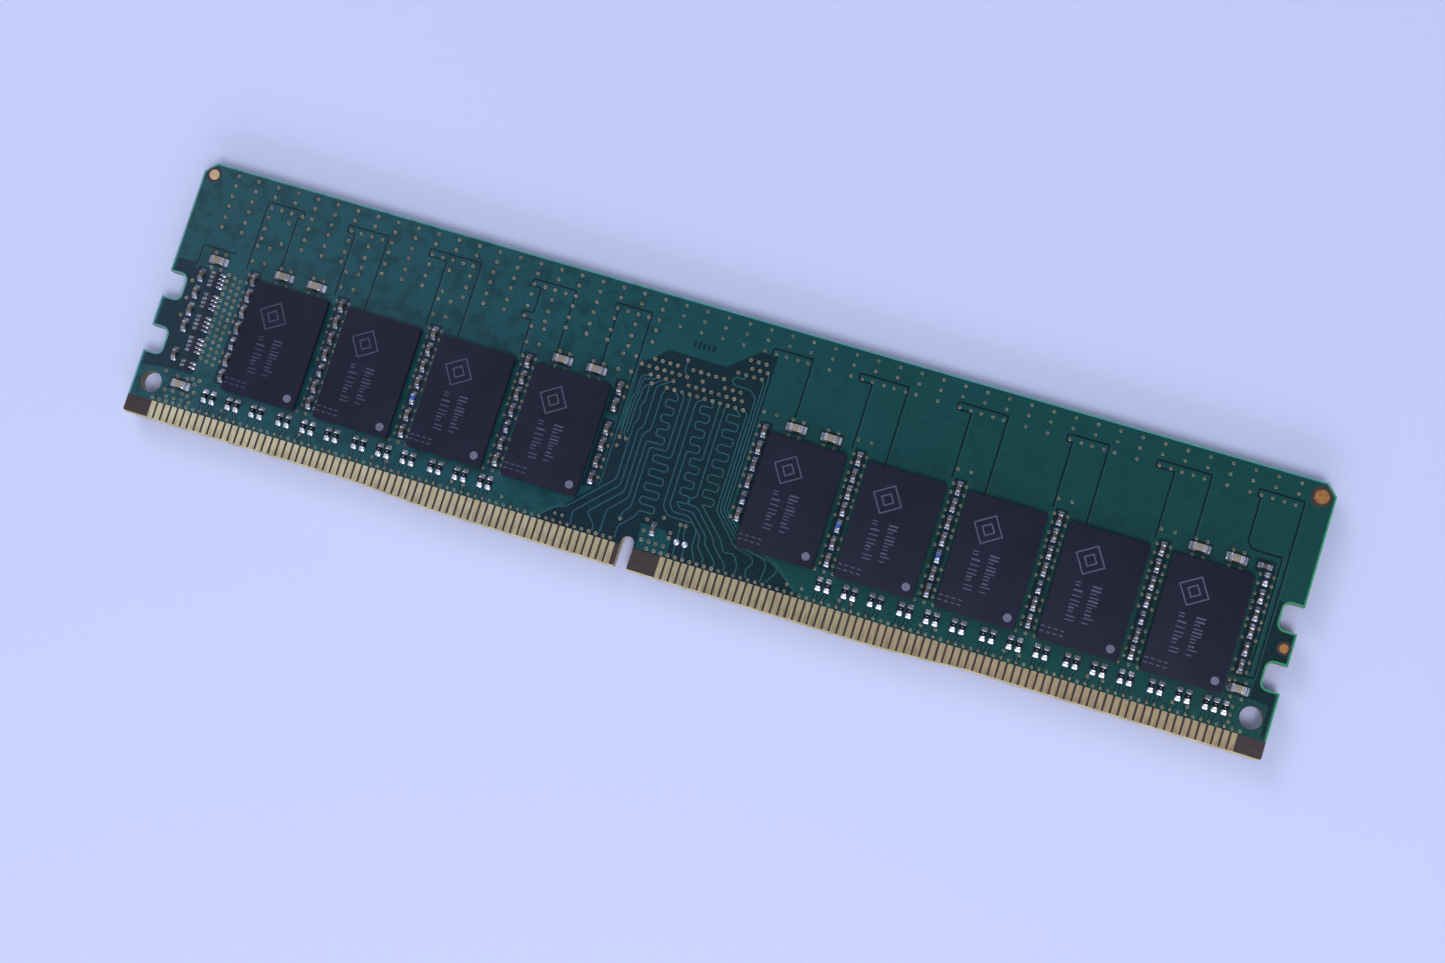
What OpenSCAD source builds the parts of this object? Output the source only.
// Memory module: a flat printed board with memory packages on both faces,
// gold contacts along its lower edge and rows of small parts between them.
// The module lies flat: X runs along its length, Y from the contact edge to
// the plain edge, and Z out of the back face. Sizes are in millimetres.

/* [Board] */
// Length of the board along X
board_length = 133.35; // [133.2:0.05:133.5]
// Height of the board along Y, contact edge to plain edge
board_height = 31.25; // [31.1:0.05:31.4]
// Thickness of the laminate without mask or contacts
laminate_t = 1.3; // [1.2:0.05:1.4]
// Thickness of the outer dielectric sheet on each face
prepreg_t = 0.2; // [0.15:0.01:0.25]
// Thickness of a copper foil plane
foil_t = 0.035; // [0.03:0.005:0.07]
// Thickness of the solder mask film
mask_t = 0.03; // [0.02:0.01:0.04]
// Cut on the two plain-edge corners
corner_cut = 1.25; // [0.5:0.05:2]
// Step between the low middle and the raised ends of the contact edge
edge_step = 0.5; // [0.3:0.05:0.6]

/* [Notches and holes] */
// Depth of a latch notch from the end of the board
notch_depth = 2.15; // [2:0.05:2.4]
// Height of a latch notch along Y
notch_height = 3; // [2.8:0.05:3.2]
// Radius of the inner corners of a latch notch
notch_r = 0.75; // [0.5:0.05:1]
// Radius of the two round holes
hole_r = 1.25; // [1.1:0.05:1.4]
// Distance of the round holes from the middle of the board along X
hole_x = 64.5; // [64.3:0.05:64.6]
// Width of the key slot in the contact edge
key_width = 1.5; // [1.4:0.05:1.6]
// Position of the key slot along X
key_x = -5.575; // [-5.6:0.025:-5.55]

/* [Contacts] */
// Distance between neighbouring contacts
contact_pitch = 0.85; // [0.85:0.05:0.85]
// Width of one contact
contact_width = 0.6; // [0.5:0.05:0.65]
// Thickness of one contact, copper with nickel and gold
contact_t = 0.05; // [0.04:0.01:0.06]
// Contacts on the long side of the key slot
contacts_right = 77; // [77:1:77]
// Contacts on the short side of the key slot
contacts_left = 67; // [67:1:67]

/* [Memory packages] */
// Width of a package along X
package_width = 9; // [8:0.1:9.2]
// Length of a package along Y
package_length = 13.2; // [12:0.1:13.4]
// Height of the moulded cap
mould_t = 0.6; // [0.5:0.05:0.7]
// Thickness of the package substrate
substrate_t = 0.24; // [0.2:0.01:0.3]
// Height of a soldered ball
ball_t = 0.26; // [0.2:0.01:0.35]
// Radius of a soldered ball
ball_r = 0.22; // [0.18:0.01:0.25]
// Distance between neighbouring packages
package_pitch = 11.43; // [11.35:0.01:11.5]
// Packages to the left of the middle
packages_left = 4; // [4:1:4]
// Packages to the right of the middle
packages_right = 5; // [5:1:5]

/* [Small parts] */
// Length, width and height of a large capacitor
large_cap = [1.6, 0.8, 0.8]; // [0.5:0.05:1.6]
// Length, width and height of a small capacitor
small_cap = [1, 0.5, 0.5]; // [0.4:0.05:1.1]
// Length, width and height of a resistor
resistor = [1, 0.5, 0.35]; // [0.3:0.05:1.1]
// Distance between the rows of one resistor array
array_pitch = 0.5; // [0.5:0.05:0.55]
// Width of a resistor array across its contacts
array_width = 1; // [0.9:0.05:1.1]

/* [Hidden] */
$fn = 40;
eps = 0.01;

// Heights, counted from the faces of the front packages
package_t = mould_t + substrate_t + ball_t;
laminate_z = package_t + mask_t;
laminate_top = laminate_z + laminate_t;
mid_z = laminate_z + laminate_t / 2;
mask_top = laminate_top + mask_t;
substrate_z = mask_top + ball_t;
mould_z = substrate_z + substrate_t;
core_z = laminate_z + prepreg_t;
core_t = laminate_t - 2 * prepreg_t;

// Outline of the board
half_x = board_length / 2;
top_y = board_height / 2;
low_y = -top_y;
raised_y = low_y + edge_step;
small_cut = 0.3;
ramp_left = [-38, -28.5];
ramp_right = [24, 34];
notch_centres = [low_y + 16.1, low_y + 9.5];
hole_y = low_y + 4.65;
key_top = low_y + 3.7;
bevel = [0.16, 0.3];
plane_inset = 0.5;

// Contacts and the marks that a placing machine reads
contact_top = low_y + 2.6;
contact_left_x = -63.325;
contact_right_x = -1.275;
plane_bottom = contact_top + 0.2;
mark_t = 0.035;
marks = [[-65.4, 14.2, 0.6, 0.9], [65.15, 13.95, 0.8, 1.2], [65.75, -2.9, 0.48, 0.8]];
test_pad_r = 0.33;
test_pads = [[-0.35, -11], [0.62, -11]];
test_pad_t = 0.16;

// Memory packages
package_y = -2.95;
first_left = -51.43;
first_right = 10.55;
package_x = concat([for (i = [0:packages_left - 1]) first_left + i * package_pitch],
    [for (i = [0:packages_right - 1]) first_right + i * package_pitch]);
die = [7, 10.5, 0.25];
ball_pitch = 0.8;
ball_columns = [-4, -3, -2, 2, 3, 4];
ball_rows = 13;

// Columns of small parts, one beside each package
row_pitch = 1.95;
row_top = 3.7;
calibration_row = 4;
column_gap = 5.68;
first_column_gap = 5.25;
column_x = [for (i = [0:len(package_x) - 1])
    package_x[i] - (i == 0 || i == packages_left ? first_column_gap : column_gap)];
end_column_x = 61.96;
middle_column_x = -11.78;
middle_column_y = [3.7, 1.75, -1.05, -2.9, -4.85, -6.8];
left_column_x = -62.88;
left_column_y = [2.5, 0.45, -1.65, -3.6, -7.1];
function row_y(k) = row_top - k * row_pitch;
// Rows beside package i: the one at the key slot's right is shorter
function last_row(i) = i == packages_left ? 5 : 6;

// Places are [x, y, turn], with turn 0 along X and 90 along Y
column_capacitors = [for (i = [0:len(column_x) - 1], k = [0:last_row(i)])
    if (k != calibration_row) [column_x[i], row_y(k), 90]];
end_capacitors = [for (k = [1:5]) [end_column_x, row_y(k), 90]];
middle_capacitors = [for (y = middle_column_y) [middle_column_x, y, 90]];
left_capacitors = [for (y = left_column_y) [left_column_x, y, 90]];
small_places = concat(column_capacitors, end_capacitors, middle_capacitors);
back_small_places = concat(small_places, left_capacitors,
    [[61.48, 5.03, 0], [-3.3, -10.35, 90]]);
front_small_places = concat(small_places, [[-6.2, 1.6, 90], [-0.8, 1.6, 90]]);
calibration_places = concat(
    [for (x = column_x) [x, row_y(calibration_row), 90]], [[end_column_x, row_top, 90]]);

// Large capacitors stand in pairs above the end packages
pair_offset = 2.03;
pair_y = 4.95;
pair_packages = [0, 3, 4, 8];
large_places = concat(
    [for (i = pair_packages, s = [-1, 1]) [package_x[i] + 0.1 + s * pair_offset, pair_y, 0]],
    [[-61.47, 4.65, 0], [-61.05, -10.35, 0], [62.37, -8.45, 0]]);

// Pairs of series resistors along the contact edge, three pairs to a lane
series_y = -10.77;
lane_pitch = 9.35;
pair_pitch = 3;
resistor_gap = 1;
lane_left = -57.79;
lane_right = 16.17;
function lanes(first, count) = [for (k = [0:count - 1], j = [0:2], s = [0, 1])
    [first + k * lane_pitch + j * pair_pitch + s * resistor_gap, series_y, 90]];
series_places = concat(lanes(lane_left, 4), lanes(lane_right, 5), [[61.6, series_y, 90]]);

// Resistor arrays: [x, y, rows]
array_x = -60.95;
array_t = 0.35;
array_places = concat([for (k = [0:3]) [array_x, 2.4 - k * 2.63, 4]], [[array_x, -7.85, 2]]);

// Sensor chip with its memory for the module's settings
sensor = [3, 2, 0.7];
sensor_at = [-3.5, 1.6];
sensor_pad = [0.28, 0.45, 0.1];

function edge_y(x) = low_y + edge_step * max(0, min(1,
    x < key_x ? (ramp_left[1] - x) / (ramp_left[1] - ramp_left[0])
              : (x - ramp_right[0]) / (ramp_right[1] - ramp_right[0])));

// ---- Board ----

module latch_notch(grow) {
    depth = notch_depth + grow;
    high = notch_height + 2 * grow;
    r = notch_r + grow;
    translate([-1, -high / 2]) square([1 + depth - r, high]);
    translate([-1, r - high / 2]) square([1 + depth, high - 2 * r]);
    for (s = [-1, 1]) translate([depth - r, s * (high / 2 - r)]) circle(r);
}

module key_slot(grow) {
    r = key_width / 2 + grow;
    translate([key_x, key_top - key_width / 2]) circle(r);
    translate([key_x - r, low_y - 1]) square([2 * r, key_top - key_width / 2 - low_y + 1]);
}

// Outline of the board, or of a layer that stays inset from it
module board_outline(inset = 0) {
    x = half_x - inset;
    top = top_y - inset;
    raised = raised_y + inset;
    low = low_y + inset;
    difference() {
        polygon([[small_cut - x, raised], [ramp_left[0], raised], [ramp_left[1], low],
            [ramp_right[0], low], [ramp_right[1], raised], [x - small_cut, raised],
            [x, raised + small_cut], [x, top - corner_cut], [x - corner_cut, top],
            [corner_cut - x, top], [-x, top - corner_cut], [-x, raised + small_cut]]);
        for (y = notch_centres) {
            translate([-half_x, y]) latch_notch(inset);
            translate([half_x, y]) mirror([1, 0]) latch_notch(inset);
        }
        for (s = [-1, 1]) translate([s * hole_x, hole_y]) circle(hole_r + inset);
        key_slot(inset);
    }
}

// The slope that lets the contact edge slide into a socket, cut on both faces
module edge_bevel() {
    ends = [[-half_x, raised_y], [ramp_left[0], raised_y], [ramp_left[1], low_y],
        [ramp_right[0], low_y], [ramp_right[1], raised_y], [half_x, raised_y]];
    m = 0.3;
    both_faces() for (i = [0:len(ends) - 2]) {
        run = ends[i + 1] - ends[i];
        translate([ends[i][0], ends[i][1], laminate_top])
            rotate([0, 0, atan2(run[1], run[0])]) rotate([90, 0, 90])
            translate([0, 0, -eps]) linear_extrude(norm(run) + 2 * eps)
            polygon([[-m, -bevel[1] * (1 + m / bevel[0])],
                [bevel[0] * (1 + m / bevel[1]), m], [-m, m]]);
    }
}

// Turns what is on the back face over to the front face
module on_front() {
    translate([0, 0, 2 * mid_z]) mirror([0, 0, 1]) children();
}

module both_faces() {
    children();
    on_front() children();
}

module foil(clearance = 0) {
    translate([0, 0, core_z + core_t - foil_t])
        linear_extrude(foil_t + clearance) intersection() {
            board_outline(plane_inset);
            translate([-half_x, plane_bottom]) square([board_length, board_height]);
        }
}

module board_core() {
    color("#b8ab63") difference() {
        translate([0, 0, core_z]) linear_extrude(core_t) board_outline();
        both_faces() foil(1);
        edge_bevel();
    }
}

module ground_plane() { color("#c8794a") foil(); }

module power_plane() { color("#c8794a") on_front() foil(); }

module prepreg() {
    color("#a59a52") difference() {
        translate([0, 0, laminate_top - prepreg_t]) linear_extrude(prepreg_t) board_outline();
        edge_bevel();
    }
}

module solder_mask(mark_list, pads) {
    color("#1f6f66") translate([0, 0, laminate_top]) linear_extrude(mask_t) difference() {
        intersection() {
            board_outline();
            translate([-half_x, contact_top]) square([board_length, board_height]);
        }
        for (m = mark_list) translate([m[0], m[1]]) circle(m[3]);
        for (p = pads) translate(p) circle(test_pad_r);
        for (s = [-1, 1]) translate([s * hole_x, hole_y]) circle(hole_r + 0.1);
    }
}

module alignment_marks(mark_list) {
    color("#e0a860") for (m = mark_list)
        translate([m[0], m[1], laminate_top]) cylinder(r = m[2], h = mark_t);
}

// Two round pads with a low dome of solder on each
module test_pads() {
    color("#dfe2e6") for (p = test_pads) translate([p[0], p[1], laminate_top]) {
        cylinder(r = test_pad_r, h = test_pad_t / 2);
        translate([0, 0, test_pad_t / 2 - eps])
            cylinder(r = test_pad_r * 0.7, h = test_pad_t / 2);
    }
}

module edge_contacts(first, count) {
    color("#d9c489") for (i = [0:count - 1]) {
        x = first + i * contact_pitch;
        bottom = max(edge_y(x - contact_width / 2), edge_y(x + contact_width / 2)) + bevel[0];
        translate([x - contact_width / 2, bottom, laminate_top])
            cube([contact_width, contact_top - bottom, contact_t]);
    }
}

// ---- Memory packages ----

module at_package(i) {
    translate([package_x[i - 1], package_y, 0]) children();
}

module at_packages() {
    for (i = [1:len(package_x)]) at_package(i) children();
}

module block(size, z) {
    translate([-size[0] / 2, -size[1] / 2, z]) cube(size);
}

// Moulded cap of one package, with the die's place in its lower face
module memory(i) {
    color("#2b2d45") at_package(i) difference() {
        block([package_width, package_length, mould_t], mould_z);
        block([die[0], die[1], die[2] + 1], mould_z - 1);
    }
}

module package_substrates() {
    color("#3b4a33") at_packages() block([package_width, package_length, substrate_t], substrate_z);
}

module silicon_dies() {
    color("#5a5f6b") at_packages() block(die, mould_z);
}

module solder_balls() {
    color("#b9bcc2") at_packages() for (c = ball_columns, r = [0:ball_rows - 1])
        translate([c * ball_pitch, (r - (ball_rows - 1) / 2) * ball_pitch, mask_top])
            cylinder(r = ball_r, h = ball_t, $fn = 16);
}

// ---- Small parts ----

module place(at) {
    translate([at[0], at[1], mask_top]) rotate([0, 0, at[2]]) children();
}

// Body of a two-ended part between its two metal ends
module bodies(places, size) {
    for (at = places) place(at) block([size[0] * 0.6, size[1] - 0.02, size[2] - 0.02], 0.01);
}

module ends(places, size) {
    long = size[0] * 0.2;
    for (at = places) place(at) for (s = [-1, 1])
        translate([s * (size[0] - long) / 2, 0, 0]) block([long, size[1], size[2]], 0);
}

module capacitors(places, size) { color("#b9a994") bodies(places, size); }

module metal_ends(places, size) { color("#d6d9de") ends(places, size); }

module series_resistors() { color("#26262b") bodies(series_places, resistor); }

module calibration_resistors() { color("#3f5f9e") bodies(calibration_places, resistor); }

module resistor_ends() {
    metal_ends(series_places, resistor);
    metal_ends(calibration_places, resistor);
}

module resistor_arrays() {
    color("#2f2b3a") for (a = array_places) place([a[0], a[1], 0])
        block([array_width - 0.4, a[2] * array_pitch, array_t], 0.01);
}

module resistor_array_ends() {
    color("#d6d9de") for (a = array_places, r = [0:a[2] - 1], s = [-1, 1])
        place([a[0], a[1] + (r - (a[2] - 1) / 2) * array_pitch, 0])
            translate([s * (array_width / 2 - 0.1), 0, 0]) block([0.2, 0.3, array_t], 0);
}

module sensor_chip() {
    color("#2b2b30") on_front() place([sensor_at[0], sensor_at[1], 0])
        block(sensor, sensor_pad[2]);
}

module sensor_chip_pads() {
    color("#d6d9de") on_front() place([sensor_at[0], sensor_at[1], 0])
        for (c = [-1.5, -0.5, 0.5, 1.5], s = [-1, 1])
            translate([c * 0.65, s * (sensor[1] - sensor_pad[1]) / 2, 0]) block(sensor_pad, 0);
}

board_core();
ground_plane();
power_plane();
prepreg();  // prepreg_back
on_front() prepreg();  // prepreg_front
solder_mask(marks, test_pads);  // solder_mask_back
on_front() solder_mask(marks, []);  // solder_mask_front
alignment_marks(marks);  // alignment_marks_back
on_front() alignment_marks(marks);  // alignment_marks_front
test_pads();
edge_contacts(contact_left_x, contacts_left);  // edge_contacts_back_left
edge_contacts(contact_right_x, contacts_right);  // edge_contacts_back_right
on_front() edge_contacts(contact_left_x, contacts_left);  // edge_contacts_front_left
on_front() edge_contacts(contact_right_x, contacts_right);  // edge_contacts_front_right
for (i = [1:len(package_x)]) {
    memory(i);
    on_front() memory(i);
}
package_substrates();  // package_substrates_back
on_front() package_substrates();  // package_substrates_front
silicon_dies();  // silicon_dies_back
on_front() silicon_dies();  // silicon_dies_front
solder_balls();  // solder_balls_back
on_front() solder_balls();  // solder_balls_front
capacitors(large_places, large_cap);  // large_capacitors_back
metal_ends(large_places, large_cap);  // large_capacitor_ends_back
on_front() capacitors(large_places, large_cap);  // large_capacitors_front
on_front() metal_ends(large_places, large_cap);  // large_capacitor_ends_front
capacitors(back_small_places, small_cap);  // small_capacitors_back
metal_ends(back_small_places, small_cap);  // small_capacitor_ends_back
on_front() capacitors(front_small_places, small_cap);  // small_capacitors_front
on_front() metal_ends(front_small_places, small_cap);  // small_capacitor_ends_front
series_resistors();  // series_resistors_back
calibration_resistors();  // calibration_resistors_back
resistor_ends();  // resistor_ends_back
on_front() series_resistors();  // series_resistors_front
on_front() calibration_resistors();  // calibration_resistors_front
on_front() resistor_ends();  // resistor_ends_front
resistor_arrays();
resistor_array_ends();
sensor_chip();
sensor_chip_pads();
